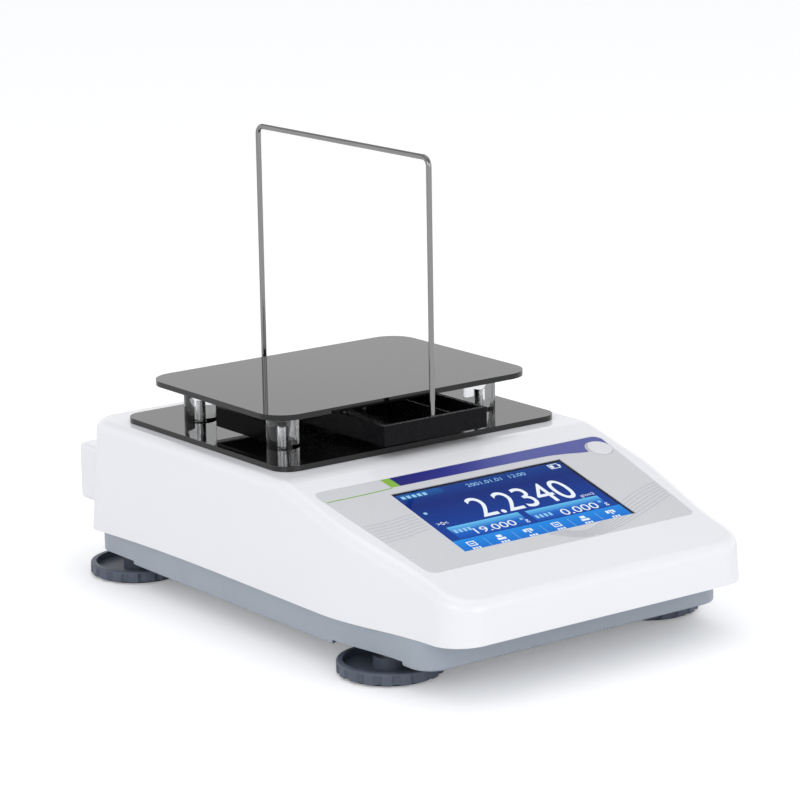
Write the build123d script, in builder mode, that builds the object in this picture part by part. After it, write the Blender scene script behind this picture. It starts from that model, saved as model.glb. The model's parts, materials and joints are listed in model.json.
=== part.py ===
from build123d import *
from math import cos, radians, sin, tan
import os

# Desk-top liquid density meter: a weighing body with a sloped touch panel, a fixed platform for
# the beaker on four clear columns, and a wire frame that stands on the weighing tray and spans
# the platform. Millimetres, +Z up, front towards -Y, origin on the table under the middle.

# Overall sizes
housing_depth = 326.5
housing_width = 215.0
nose_width = 195.0
deck_height = 87.4
ground_gap = 12.0

# Casing form
side_lean = 3.8
nose_lean = 3.5
end_lean = 1.5
rear_corner = 17.0
nose_corner = 18.0
waist_from_front = 99.5
nose_from_front = 21.5
deck_front_from_front = 136.5
panel_tilt = 15.2
deck_bend = 30.0
top_edge = 6.0
case_wall = 2.8
fit_gap = 0.2

# Lower edge of the casing, seen from the side: its height at four stations
seam_rear = 24.8
seam_middle = 28.3
seam_waist = 27.6
seam_front = 29.0
seam_middle_share = 0.37

# Base tub
tub_side_inset = 3.5
tub_front_inset = 23.0
tub_rear_inset = 7.4
tub_nose_inset = -0.5
tub_rear_corner = 14.0
tub_front_corner = 13.0
tub_nose_run = 3.0
tub_wall = 2.5
tub_edge = 1.5
flange_bottom = 30.0
flange_thick = 2.5

# Display and panel
screen_width = 110.88
screen_height = 62.83
screen_from_front = 75.5
sheet_top_width = 190.0
sheet_bottom_width = 173.0
sheet_height = 91.4
sheet_up = 1.5
sheet_corner = 5.0
sheet_thick = 0.5
window_margin = 0.6
lcd_border_side = 4.91
lcd_border_end = 6.485
lcd_thick = 3.0
glass_overlap_side = 0.65
glass_overlap_end = 0.6
glass_thick = 1.4
frame_window_gap_side = 0.56
frame_window_gap_end = 1.585
frame_border_side = 10.0
frame_border_end = 7.0
frame_thick = 2.0
frame_post_radius = 2.0
frame_post_inset_side = 2.4
frame_post_inset_end = 8.0
frame_screw_radius = 0.9
frame_screw_head = 1.8
frame_screw_head_thick = 1.0

# Power key on the panel
key_radius = 7.0
key_gap = 0.15
key_across = 85.6
key_up = 34.0
key_dome = 1.0
key_edge = 0.9
key_flange = 1.2
key_flange_thick = 1.0
key_board_width = 25.6
key_board_depth = 10.0
key_board_thick = 1.2
key_board_drop = 5.0
key_post_radius = 2.0
key_switch_width = 6.0
key_plunger_radius = 1.6
key_plunger_gap = 0.05
key_switch_gap = 1.0
key_travel = 0.8

# Beaker platform and its stand
plate_width = 185.0
plate_depth = 154.8
plate_corner = 11.0
plate_thick = 3.0
plate_from_front = 226.8
platform_width = 172.7
platform_depth = 125.8
platform_corner = 16.0
column_radius = 8.75
column_height = 20.0
column_spacing_x = 132.0
column_spacing_y = 79.0
column_screw_radius = 2.0
column_head_radius = 3.5
column_head_thick = 2.0
column_hole_depth = 12.0

# Weighing tray and hanging frame
tray_width = 68.0
tray_depth = 162.8
tray_height = 11.0
tray_wall = 2.5
tray_floor = 2.5
tray_lift = 3.6
tray_front_from_front = 140.25
divider_across = 14.0
divider_thick = 1.5
divider_drop = 1.0
wire_radius = 1.5
wire_gap = 0.05
wire_bend = 4.5
wire_top = 243.8
leg_inset = 3.3
socket_radius = 3.0
socket_depth = 7.0
tray_screw_radius = 1.5
tray_screw_head = 2.6
tray_screw_spread = 7.0

# Weighing cell and what carries the tray
cell_length = 130.0
cell_width = 30.0
cell_height = 22.0
cell_hole = 7.0
cell_hole_spacing = 24.0
cell_slot = 3.0
cell_bolt = 3.0
cell_bolt_head = 5.1
cell_bolt_spacing = 15.0
cell_bolt_inset = 8.0
bed_width = 90.0
bed_depth = 160.0
bed_thick = 3.0
bed_stand = 3.0
bed_screw_inset = 6.0
block_length = 30.0
block_height = 5.5
spacer_height = 4.0
arm_width = 40.0
arm_thick = 8.0
post_radius = 8.0
post_foot_radius = 16.0
post_foot_thick = 4.0
post_head_radius = 14.0
post_head_thick = 2.5
post_hole_gap = 2.5
stop_gap = 0.6
stop_radius = 3.0
stop_nut_across = 10.0
stop_nut_thick = 2.5

# Levelling feet
foot_spacing_x = 171.0
foot_spacing_y = 233.7
front_foot_from_front = 69.2
wheel_radius = 27.2
wheel_bottom = 1.3
wheel_top = 7.2
wheel_rim = 3.2
wheel_web_top = 3.6
wheel_lobes = 18
lobe_radius = 2.6
lobe_depth = 1.2
hub_radius = 9.0
hub_top = 9.2
hub_taper = 5.0
stud_radius = 4.0
stud_gap = 0.05
stud_top = 29.0
stud_pitch = 1.25
pad_radius = 24.0
pad_thick = 1.8
pad_pin_radius = 3.0
pad_pin_height = 4.0
pad_pin_gap = 0.3
pocket_radius = 30.0
pocket_depth = 2.5
pocket_roof = 2.6
foot_boss_radius = 9.0
insert_radius = 6.0
insert_top = 27.0

# Case screws and board screws
case_screw_radius = 1.5
case_head_radius = 3.0
case_head_thick = 2.0
case_boss_radius = 5.0
case_screw_length = 24.0
screw_front_from_side = 25.5
screw_front_from_front = 34.75
screw_middle_from_side = 15.5
screw_middle_shift = 1.75
screw_rear_across = 38.0
screw_rear_from_rear = 18.0
screw_end_gap = 0.5
case_counterbore = 6.0
pilot_gap = 0.02
board_screw_radius = 1.2
board_head_radius = 2.4
board_head_thick = 1.6
board_boss_radius = 3.5
board_screw_hole = 6.0

# Main board
board_width = 130.0
board_depth = 68.0
board_thick = 1.6
board_height = 26.0
board_from_front = 79.0
board_hole_inset = 5.0

# Larger components of the main board: across, along, width, depth, height
board_components = [
    (-20.0, 4.0, 14.0, 14.0, 1.4),
    (12.0, 6.0, 10.0, 10.0, 1.4),
    (-46.0, -8.0, 18.0, 12.0, 9.0),
    (40.0, -10.0, 22.0, 8.0, 6.0),
    (44.0, 14.0, 12.0, 16.0, 8.0),
    (0.0, 27.0, 40.0, 5.0, 3.0),
]

# Battery and its door
battery_width = 38.0
battery_length = 76.0
battery_thick = 20.0
battery_edge = 8.0
battery_across = -72.0
battery_along = 45.0
door_margin = 4.0
door_gap = 0.25
door_screw_out = 3.0

# Rear connector cover
port_cover_width = 190.0
port_cover_depth = 24.0
port_cover_bottom = 35.0
port_cover_top = 67.0
port_cover_corner = 6.0
port_cover_wall = 2.5
port_cover_edge = 3.0
port_recess = 4.0
port_recess_inset = 20.0
port_recess_height = 23.0
port_recess_corner = 3.0
port_screw_inset = 11.0
port_post_radius = 4.0
port_boss_length = 8.0
port_boss_sink = 2.0
port_cut_over = 1.0
port_slot_height = 14.0
jack_across = -60.0
jack_radius = 5.5
jack_flange_radius = 7.0
jack_flange_thick = 1.0
jack_bore = 2.8
jack_bore_depth = 9.5
jack_pin_radius = 1.0
jack_pin_inset = 1.0
jack_length = 14.0
data_across = -15.0
data_width = 12.0
data_height = 11.0
data_depth = 16.0
data_mouth_width = 8.4
data_mouth_height = 7.8
data_mouth_depth = 9.0
data_tongue_width = 5.6
data_tongue_height = 3.0
data_tongue_depth = 8.0
switch_across = 45.0
switch_width = 13.0
switch_height = 19.0
switch_bezel = 1.5
switch_bezel_thick = 1.6
switch_body_depth = 14.0
switch_wall = 1.2
rocker_radius = 8.0
rocker_depth = 3.0
rocker_gap = 0.3
rocker_tilt = 8.0
rocker_face = 4.96
rocker_cut = 9.6
rocker_pivot_radius = 1.5
rocker_pivot_gap = 0.05

# Spirit level in the deck behind the plate
level_radius = 5.0
level_height = 5.0
level_rim_radius = 6.0
level_rim_thick = 0.8
level_behind_plate = 6.2

# Stations worked out from the sizes above
overall_depth = housing_depth + port_cover_depth
front_y = -overall_depth / 2
rear_y = front_y + housing_depth
back_y = rear_y + port_cover_depth
form_low = 20.0
form_high = 95.0
wall_steepness = 0.3
deck_front_y = front_y + deck_front_from_front
plate_y = front_y + plate_from_front
platform_z = deck_height + plate_thick + column_height
plate_top = deck_height + plate_thick
tray_z = plate_top + tray_lift
tray_front_y = front_y + tray_front_from_front
tray_y = tray_front_y + tray_depth / 2
lcd_width = screen_width + 2 * lcd_border_side
lcd_height = screen_height + 2 * lcd_border_end
glass_width = lcd_width + 2 * glass_overlap_side
glass_height = lcd_height + 2 * glass_overlap_end
frame_window_width = screen_width + 2 * frame_window_gap_side
frame_window_height = screen_height + 2 * frame_window_gap_end
frame_width = frame_window_width + 2 * frame_border_side
frame_height = frame_window_height + 2 * frame_border_end
frame_post_across = frame_width / 2 - frame_post_inset_side
frame_post_up = frame_height / 2 - frame_post_inset_end
cell_y = tray_y
bed_z = ground_gap + tub_wall + bed_stand
cell_z = bed_z + bed_thick + block_height
arm_z = cell_z + cell_height + spacer_height
post_z = arm_z + arm_thick
post_head_z = tray_z - post_head_thick
post_hole_radius = post_head_radius + post_hole_gap
foot_y = front_y + front_foot_from_front
battery_z = ground_gap + tub_wall
wheel_socket_top = pad_thick + pad_pin_height + pad_pin_gap
screen_y = front_y + screen_from_front
screen_z = deck_height - (deck_front_y - screen_y) * tan(radians(panel_tilt))
panel_plane = Plane(
    origin=(0, screen_y, screen_z),
    x_dir=(1, 0, 0),
    z_dir=(0, -sin(radians(panel_tilt)), cos(radians(panel_tilt))),
)
foot_places = [
    ("front_left", -foot_spacing_x / 2, foot_y),
    ("front_right", foot_spacing_x / 2, foot_y),
    ("rear_left", -foot_spacing_x / 2, foot_y + foot_spacing_y),
    ("rear_right", foot_spacing_x / 2, foot_y + foot_spacing_y),
]
foot_points = [(x, y) for _, x, y in foot_places]
column_places = [
    ("front_left", -column_spacing_x / 2, plate_y - column_spacing_y / 2),
    ("front_right", column_spacing_x / 2, plate_y - column_spacing_y / 2),
    ("rear_left", -column_spacing_x / 2, plate_y + column_spacing_y / 2),
    ("rear_right", column_spacing_x / 2, plate_y + column_spacing_y / 2),
]
column_points = [(x, y) for _, x, y in column_places]

os.makedirs("parts", exist_ok=True)


def save(part, name):
    """Labels a finished piece and writes it as its own file."""
    part.label = name
    export_step(part, f"parts/{name}.step")


def outline(half, nose, front, rear, front_radius, rear_radius, waist, nose_end):
    """The closed plan outline of the casing: straight sides that draw in to a narrower nose."""
    with BuildSketch() as plan:
        with BuildLine():
            Line((0, rear), (half - rear_radius, rear))
            CenterArc((half - rear_radius, rear - rear_radius), rear_radius, 0, 90)
            Line((half, rear - rear_radius), (half, waist))
            Spline((half, waist), (nose, nose_end), tangents=((0, -1), (0, -1)))
            Line((nose, nose_end), (nose, front + front_radius))
            CenterArc((nose - front_radius, front + front_radius), front_radius, -90, 90)
            Line((nose - front_radius, front), (0, front))
            mirror(about=Plane.YZ)
        make_face()
    return plan.sketch


def housing_outline(height, inset):
    """The casing's outline at a height, drawn in by an inset."""
    rise = height - seam_front
    half = housing_width / 2 - rise * tan(radians(side_lean)) - inset
    nose = nose_width / 2 - rise * tan(radians(nose_lean)) - inset
    lean = rise * tan(radians(end_lean))
    return outline(
        half,
        nose,
        front_y + lean + inset,
        rear_y - lean - inset,
        nose_corner - inset,
        rear_corner - inset,
        front_y + waist_from_front,
        front_y + nose_from_front + inset,
    )


def rim_edges(form):
    """The edges where the top faces of a casing form meet its leaning walls."""
    tops = form.faces().filter_by(lambda face: face.normal_at().Z > wall_steepness)
    walls = form.faces().filter_by(lambda face: abs(face.normal_at().Z) <= wall_steepness)
    wall_edges = walls.edges()
    return tops.edges().filter_by(lambda edge: any(edge.is_same(other) for other in wall_edges))


def casing_form(inset):
    """The casing as a closed block: leaning walls, a flat deck and a sloped panel."""
    slope = tan(radians(panel_tilt))
    drop = inset / cos(radians(panel_tilt))
    deck = deck_height - inset
    bend_y = deck_front_y - (drop - inset) / slope
    brow_y = front_y + inset
    brow_z = deck_height - drop - (deck_front_y - brow_y) * slope
    with BuildPart() as form:
        with BuildSketch(Plane.XY.offset(form_low)):
            add(housing_outline(form_low, inset))
        with BuildSketch(Plane.XY.offset(form_high)):
            add(housing_outline(form_high, inset))
        loft(ruled=True)
        with BuildSketch(Plane.YZ) as side:
            with BuildLine():
                Polyline(
                    (brow_y, form_low),
                    (brow_y, brow_z),
                    (bend_y, deck),
                    (rear_y, deck),
                    (rear_y, form_low),
                    close=True,
                )
            make_face()
            fillet(side.vertices().sort_by_distance((0, bend_y, deck))[0], deck_bend - inset)
        extrude(amount=housing_width, both=True, mode=Mode.INTERSECT)
        fillet(rim_edges(form), top_edge - inset)
    return form.part


def below_seam():
    """The space under the casing's lower edge, which arches gently along each side."""
    with BuildPart() as space:
        with BuildSketch(Plane.YZ):
            with BuildLine():
                Spline(
                    (rear_y, seam_rear),
                    (rear_y - housing_depth * seam_middle_share, seam_middle),
                    (front_y + waist_from_front, seam_waist),
                    (front_y, seam_front),
                )
                Polyline((front_y, seam_front), (front_y, 0), (rear_y, 0), (rear_y, seam_rear))
            make_face()
        extrude(amount=housing_width, both=True)
    return space.part


def rounded_plate(width, depth, corner, thick, z):
    """A flat plate with rounded corners, its underside at z."""
    with BuildPart() as plate:
        with BuildSketch(Plane.XY.offset(z)):
            with Locations((0, plate_y)):
                RectangleRounded(width, depth, corner)
        extrude(amount=thick)
    return plate.part


def panel_sheet_outline(grow):
    """The printed sheet's outline on the panel, wider at its upper edge, grown by a gap."""
    with BuildSketch() as sheet:
        with BuildLine():
            Polyline(
                (-sheet_bottom_width / 2, sheet_up - sheet_height / 2),
                (sheet_bottom_width / 2, sheet_up - sheet_height / 2),
                (sheet_top_width / 2, sheet_up + sheet_height / 2),
                (-sheet_top_width / 2, sheet_up + sheet_height / 2),
                close=True,
            )
        make_face()
        fillet(sheet.vertices(), sheet_corner)
        if grow:
            offset(amount=grow)
    return sheet.sketch


outer_form = casing_form(0)
inner_form = casing_form(case_wall)
seam_space = below_seam()

# Places of the fasteners and of the inner pieces
screw_rows = [
    (nose_width / 2 - screw_front_from_side, front_y + screw_front_from_front),
    (housing_width / 2 - screw_middle_from_side, front_y + housing_depth / 2 + screw_middle_shift),
    (screw_rear_across, rear_y - screw_rear_from_rear),
]
case_screw_points = [(side * across, along) for across, along in screw_rows for side in (-1, 1)]
case_boss_top = flange_bottom + flange_thick
case_head_top = ground_gap + case_counterbore
tub_floor_top = ground_gap + tub_wall
pocket_top = ground_gap + pocket_depth
board_y = front_y + board_from_front
board_points = [
    (x * (board_width / 2 - board_hole_inset), board_y + y * (board_depth / 2 - board_hole_inset))
    for x in (-1, 1)
    for y in (-1, 1)
]
bed_points = [
    (x * (bed_width / 2 - bed_screw_inset), cell_y + y * (bed_depth / 2 - bed_screw_inset))
    for x in (-1, 1)
    for y in (-1, 1)
]
frame_points = [(x * frame_post_across, y * frame_post_up) for x in (-1, 1) for y in (-1, 1)]
key_post_points = [(key_across - key_board_width / 2 + key_post_radius, key_up),
                   (key_across + key_board_width / 2 - key_post_radius, key_up)]
display_stack = sheet_thick + glass_thick + lcd_thick
door_length = battery_length + 2 * door_margin
door_width = battery_width + 2 * door_margin
door_screw_points = [(battery_across, battery_along - door_length / 2 - door_screw_out),
                     (battery_across, battery_along + door_length / 2 + door_screw_out)]
level_y = plate_y + plate_depth / 2 + level_behind_plate
port_z = (port_cover_bottom + port_cover_top) / 2
port_recess_width = port_cover_width - 2 * port_recess_inset
port_screw_across = port_cover_width / 2 - port_screw_inset
port_face_y = back_y - port_recess
port_plane = Plane(origin=(0, port_face_y, port_z), x_dir=(-1, 0, 0), z_dir=(0, 1, 0))
back_plane = port_plane.offset(port_recess)
port_screw_points = [(-port_screw_across, 0), (port_screw_across, 0)]
cell_front_y = cell_y - cell_length / 2
cell_rear_y = cell_y + cell_length / 2
live_bolts = [(0, cell_front_y + cell_bolt_inset + step) for step in (0, cell_bolt_spacing)]
fixed_bolts = [(0, cell_rear_y - cell_bolt_inset - step) for step in (0, cell_bolt_spacing)]
stop_point = (0, cell_front_y + cell_bolt_inset + cell_bolt_spacing / 2)
leg_ys = [tray_front_y + leg_inset, tray_front_y + tray_depth - leg_inset]
tray_screw_points = [(x * tray_screw_spread, tray_y + y * tray_screw_spread) for x in (-1, 1) for y in (-1, 1)]
pivot = (switch_across, port_face_y - rocker_depth, port_z)


# Top casing, the white shell with its screw bosses
with BuildPart() as case_bosses:
    with BuildSketch(Plane.XY.offset(case_boss_top)):
        with Locations(*case_screw_points):
            Circle(case_boss_radius)
    extrude(amount=deck_height)
    add(outer_form, mode=Mode.INTERSECT)

with BuildPart() as top_casing:
    add(outer_form)
    add(inner_form, mode=Mode.SUBTRACT)
    add(case_bosses.part)
    # Posts under the panel for the display frame and the key board
    with BuildSketch(panel_plane.offset(-case_wall / 2)):
        with Locations(*frame_points):
            Circle(frame_post_radius)
    extrude(amount=-(display_stack - case_wall / 2))
    with BuildSketch(panel_plane.offset(-case_wall / 2)):
        with Locations(*key_post_points):
            Circle(key_post_radius)
    extrude(amount=-key_board_drop - case_wall / 2)
    # Bosses behind the rear wall for the screws of the connector cover
    with BuildSketch(Plane(origin=(0, rear_y - port_boss_length, port_z), x_dir=(-1, 0, 0), z_dir=(0, 1, 0))):
        with Locations(*port_screw_points):
            Circle(port_post_radius)
    extrude(amount=port_boss_length - port_boss_sink)
    add(seam_space, mode=Mode.SUBTRACT)
    with BuildSketch(Plane.XY.offset(case_boss_top)):
        with Locations(*case_screw_points):
            Circle(case_screw_radius + pilot_gap)
    extrude(amount=case_screw_length - (case_boss_top - case_head_top), mode=Mode.SUBTRACT)
    # Deck: hole of the tray post, of the column screws and of the spirit level
    with BuildSketch(Plane.XY.offset(deck_height)):
        with Locations((0, tray_y)):
            Circle(post_hole_radius)
        with Locations(*column_points):
            Circle(column_screw_radius + fit_gap)
        with Locations((0, level_y)):
            Circle(level_radius + fit_gap)
    extrude(amount=-2 * case_wall, mode=Mode.SUBTRACT)
    # Panel: recess of the sheet, window of the glass and hole of the power key
    with BuildSketch(panel_plane):
        add(panel_sheet_outline(fit_gap / 2))
    extrude(amount=-sheet_thick, mode=Mode.SUBTRACT)
    with BuildSketch(panel_plane):
        Rectangle(glass_width + 2 * fit_gap, glass_height + 2 * fit_gap)
        with Locations((key_across, key_up)):
            Circle(key_radius + key_gap)
    extrude(amount=-2 * case_wall, mode=Mode.SUBTRACT)
    with BuildSketch(panel_plane.offset(-display_stack)):
        with Locations(*frame_points):
            Circle(frame_screw_radius + pilot_gap)
    extrude(amount=frame_thick, mode=Mode.SUBTRACT)
    # Rear wall: cable slot and screw holes behind the connector cover
    with BuildSketch(Plane(origin=(0, rear_y + port_cut_over, port_z), x_dir=(-1, 0, 0), z_dir=(0, 1, 0))):
        Rectangle(port_recess_width, port_slot_height)
        with Locations(*port_screw_points):
            Circle(case_screw_radius + pilot_gap)
    extrude(amount=-port_cut_over - port_boss_length - screw_end_gap, mode=Mode.SUBTRACT)
save(top_casing.part, "top_casing")


# Base tub, the grey shell under the casing
def tub_outline(inset):
    """The tub's plan outline, set in from the casing's lower edge."""
    nose = nose_width / 2 - tub_nose_inset - inset
    return outline(
        housing_width / 2 - tub_side_inset - inset,
        nose,
        front_y + tub_front_inset + inset,
        rear_y - tub_rear_inset - inset,
        tub_front_corner - inset,
        tub_rear_corner - inset,
        front_y + waist_from_front,
        front_y + tub_front_inset + tub_front_corner + tub_nose_run,
    )


with BuildPart() as casing_wall:
    add(outer_form)
    add(casing_form(case_wall + fit_gap), mode=Mode.SUBTRACT)
    add(seam_space, mode=Mode.SUBTRACT)

with BuildPart() as base_tub:
    with BuildSketch(Plane.XY.offset(ground_gap)):
        add(tub_outline(0))
    extrude(amount=case_boss_top - ground_gap)
    fillet(base_tub.faces().sort_by(Axis.Z)[0].edges(), tub_edge)
    with BuildSketch(Plane.XY.offset(flange_bottom)):
        add(housing_outline(case_boss_top, case_wall + fit_gap))
    extrude(amount=flange_thick)
    with BuildSketch(Plane.XY.offset(tub_floor_top)):
        add(tub_outline(tub_wall))
    extrude(amount=case_boss_top, mode=Mode.SUBTRACT)
    add(casing_wall.part, mode=Mode.SUBTRACT)
    # Bosses: feet, case screws, cell bed, main board and battery door
    with BuildSketch(Plane.XY.offset(ground_gap)):
        with Locations(*foot_points):
            Circle(pocket_radius + tub_wall)
        add(tub_outline(tub_wall / 2), mode=Mode.INTERSECT)
    extrude(amount=pocket_depth + pocket_roof)
    with BuildSketch(Plane.XY.offset(tub_floor_top)):
        with Locations(*foot_points):
            Circle(foot_boss_radius)
    extrude(amount=insert_top - tub_floor_top)
    with BuildSketch(Plane.XY.offset(tub_floor_top)):
        with Locations(*case_screw_points):
            Circle(case_boss_radius)
    extrude(amount=case_boss_top - tub_floor_top)
    with BuildSketch(Plane.XY.offset(tub_floor_top)):
        with Locations(*bed_points):
            Circle(case_boss_radius)
    extrude(amount=bed_stand)
    with BuildSketch(Plane.XY.offset(tub_floor_top)):
        with Locations(*board_points):
            Circle(board_boss_radius)
    extrude(amount=board_height - tub_floor_top)
    with BuildSketch(Plane.XY.offset(tub_floor_top)):
        with Locations(*door_screw_points):
            Circle(board_boss_radius)
    extrude(amount=bed_stand)
    # Pockets over the feet, their inserts' seats, screw holes and the battery opening
    with BuildSketch(Plane.XY.offset(ground_gap)):
        with Locations(*foot_points):
            Circle(pocket_radius)
    extrude(amount=pocket_depth, mode=Mode.SUBTRACT)
    with BuildSketch(Plane.XY.offset(ground_gap)):
        with Locations(*foot_points):
            Circle(insert_radius + pilot_gap)
    extrude(amount=insert_top, mode=Mode.SUBTRACT)
    with BuildSketch(Plane.XY.offset(ground_gap)):
        with Locations(*case_screw_points):
            Circle(case_screw_radius + fit_gap)
    extrude(amount=case_boss_top, mode=Mode.SUBTRACT)
    with BuildSketch(Plane.XY.offset(ground_gap)):
        with Locations(*case_screw_points):
            Circle(case_head_radius + fit_gap)
    extrude(amount=case_counterbore, mode=Mode.SUBTRACT)
    with BuildSketch(Plane.XY.offset(tub_floor_top + bed_stand)):
        with Locations(*bed_points):
            Circle(case_screw_radius + pilot_gap)
    extrude(amount=-bed_stand - tub_wall / 2, mode=Mode.SUBTRACT)
    with BuildSketch(Plane.XY.offset(board_height)):
        with Locations(*board_points):
            Circle(board_screw_radius + pilot_gap)
    extrude(amount=-board_screw_hole, mode=Mode.SUBTRACT)
    with BuildSketch(Plane.XY.offset(ground_gap)):
        with Locations((battery_across, battery_along)):
            Rectangle(door_width + 2 * door_gap, door_length + 2 * door_gap + 4 * board_boss_radius)
    extrude(amount=tub_wall / 2, mode=Mode.SUBTRACT)
    with BuildSketch(Plane.XY.offset(ground_gap)):
        with Locations((battery_across, battery_along)):
            Rectangle(battery_width + door_margin, battery_length + door_margin)
    extrude(amount=tub_wall, mode=Mode.SUBTRACT)
    with BuildSketch(Plane.XY.offset(ground_gap)):
        with Locations(*door_screw_points):
            Circle(board_screw_radius + pilot_gap)
    extrude(amount=tub_wall + bed_stand, mode=Mode.SUBTRACT)
save(base_tub.part, "base_tub")


# Battery door and battery pack
with BuildPart() as battery_door:
    with BuildSketch(Plane.XY.offset(ground_gap)):
        with Locations((battery_across, battery_along)):
            Rectangle(door_width, door_length + 4 * board_boss_radius)
    extrude(amount=tub_wall / 2)
    with BuildSketch(Plane.XY.offset(ground_gap)):
        with Locations((battery_across, battery_along)):
            Rectangle(battery_width + door_margin - 2 * door_gap, battery_length + door_margin - 2 * door_gap)
    extrude(amount=tub_wall)
    with BuildSketch(Plane.XY.offset(ground_gap)):
        with Locations(*door_screw_points):
            Circle(board_screw_radius + pilot_gap)
    extrude(amount=tub_wall, mode=Mode.SUBTRACT)
    with BuildSketch(Plane.XY.offset(ground_gap)):
        with Locations(*door_screw_points):
            Circle(board_head_radius + pilot_gap)
    extrude(amount=tub_wall / 4, mode=Mode.SUBTRACT)
save(battery_door.part, "battery_door")

with BuildPart() as door_screws:
    with BuildSketch(Plane.XY.offset(ground_gap)):
        with Locations(*door_screw_points):
            Circle(board_head_radius)
    extrude(amount=tub_wall / 4)
    with BuildSketch(Plane.XY.offset(ground_gap)):
        with Locations(*door_screw_points):
            Circle(board_screw_radius)
    extrude(amount=tub_wall + bed_stand - screw_end_gap)
save(door_screws.part, "door_screws")

with BuildPart() as battery:
    with BuildSketch(Plane.XY.offset(battery_z)):
        with Locations((battery_across, battery_along)):
            Rectangle(battery_width, battery_length)
    extrude(amount=battery_thick)
    fillet(battery.edges().filter_by(Axis.Y), battery_edge)
save(battery.part, "battery_pack")


# Case screws, driven up through the tub into the casing
with BuildPart() as case_screws:
    with BuildSketch(Plane.XY.offset(case_head_top)):
        with Locations(*case_screw_points):
            Circle(case_head_radius)
    extrude(amount=-case_head_thick)
    with BuildSketch(Plane.XY.offset(case_head_top)):
        with Locations(*case_screw_points):
            Circle(case_screw_radius)
    extrude(amount=case_screw_length - screw_end_gap)
save(case_screws.part, "case_screws")


# Levelling feet: a threaded insert in the tub, a stud and scalloped wheel, and a pad
with BuildPart() as foot_inserts:
    with BuildSketch(Plane.XY.offset(pocket_top)):
        with Locations(*foot_points):
            Circle(insert_radius)
            Circle(stud_radius + stud_gap, mode=Mode.SUBTRACT)
    extrude(amount=insert_top - pocket_top)
save(foot_inserts.part, "foot_inserts")

for name, x, y in foot_places:
    foot_plane = Plane(origin=(x, y, 0))
    with BuildPart() as foot_pad:
        with BuildSketch(foot_plane):
            Circle(pad_radius)
        extrude(amount=pad_thick)
        with BuildSketch(foot_plane.offset(pad_thick)):
            Circle(pad_pin_radius)
        extrude(amount=pad_pin_height)
    save(foot_pad.part, f"foot_pad_{name}")

    with BuildPart() as foot_wheel:
        with BuildSketch(foot_plane.offset(wheel_bottom)):
            Circle(wheel_radius)
        extrude(amount=wheel_top - wheel_bottom)
        fillet(foot_wheel.edges().group_by(Axis.Z)[-1], wheel_rim / 3)
        with BuildSketch(foot_plane.offset(wheel_web_top)):
            Circle(wheel_radius - wheel_rim)
        extrude(amount=wheel_top, mode=Mode.SUBTRACT)
        with BuildSketch(foot_plane):
            Circle(wheel_radius - wheel_rim)
        extrude(amount=pad_thick, mode=Mode.SUBTRACT)
        with BuildSketch(foot_plane.offset(wheel_web_top)):
            Circle(hub_radius)
        extrude(amount=hub_top - wheel_web_top, taper=hub_taper)
        with BuildSketch(foot_plane):
            Circle(pad_pin_radius + stud_gap)
        extrude(amount=wheel_socket_top, mode=Mode.SUBTRACT)
        with BuildSketch(foot_plane.offset(wheel_socket_top)):
            Circle(stud_radius + pilot_gap)
        extrude(amount=hub_top, mode=Mode.SUBTRACT)
        with BuildSketch(foot_plane):
            with PolarLocations(wheel_radius + lobe_radius - lobe_depth, wheel_lobes):
                Circle(lobe_radius)
        extrude(amount=wheel_top - wheel_rim / 3, mode=Mode.SUBTRACT)
    save(foot_wheel.part, f"foot_wheel_{name}")

    with BuildPart() as foot_stud:
        with BuildSketch(foot_plane.offset(wheel_socket_top)):
            Circle(stud_radius)
        extrude(amount=stud_top - wheel_socket_top)
        chamfer(foot_stud.edges().group_by(Axis.Z)[-1], stud_pitch / 2)
    save(foot_stud.part, f"foot_stud_{name}")


# Panel: printed sheet, touch glass, display, its frame, power key and key board
with BuildPart() as panel_sheet:
    with BuildSketch(panel_plane):
        add(panel_sheet_outline(0))
        Rectangle(screen_width + 2 * window_margin, screen_height + 2 * window_margin, mode=Mode.SUBTRACT)
        with Locations((key_across, key_up)):
            Circle(key_radius + key_gap, mode=Mode.SUBTRACT)
    extrude(amount=-sheet_thick)
save(panel_sheet.part, "panel_sheet")

with BuildPart() as touch_glass:
    with BuildSketch(panel_plane.offset(-sheet_thick)):
        Rectangle(glass_width, glass_height)
    extrude(amount=-glass_thick)
save(touch_glass.part, "touch_glass")

with BuildPart() as display:
    with BuildSketch(panel_plane.offset(-sheet_thick - glass_thick)):
        Rectangle(lcd_width, lcd_height)
    extrude(amount=-lcd_thick)
save(display.part, "display_module")

with BuildPart() as display_frame:
    with BuildSketch(panel_plane.offset(-display_stack)):
        Rectangle(frame_width, frame_height)
        Rectangle(frame_window_width, frame_window_height, mode=Mode.SUBTRACT)
        with Locations(*frame_points):
            Circle(frame_screw_radius + pilot_gap, mode=Mode.SUBTRACT)
    extrude(amount=-frame_thick)
save(display_frame.part, "display_frame")

with BuildPart() as frame_screws:
    with BuildSketch(panel_plane.offset(-display_stack - frame_thick)):
        with Locations(*frame_points):
            Circle(frame_screw_head)
    extrude(amount=-frame_screw_head_thick)
    with BuildSketch(panel_plane.offset(-display_stack - frame_thick)):
        with Locations(*frame_points):
            Circle(frame_screw_radius)
    extrude(amount=2 * frame_thick - 0.3)
save(frame_screws.part, "display_frame_screws")

with BuildPart() as power_key:
    with BuildSketch(panel_plane.offset(-case_wall)):
        with Locations((key_across, key_up)):
            Circle(key_radius)
    extrude(amount=case_wall + key_dome)
    fillet(power_key.edges().sort_by(Axis.Z)[-1], key_edge)
    with BuildSketch(panel_plane.offset(-case_wall)):
        with Locations((key_across, key_up)):
            Circle(key_radius + key_flange)
    extrude(amount=-key_flange_thick)
save(power_key.part, "power_key")

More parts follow.
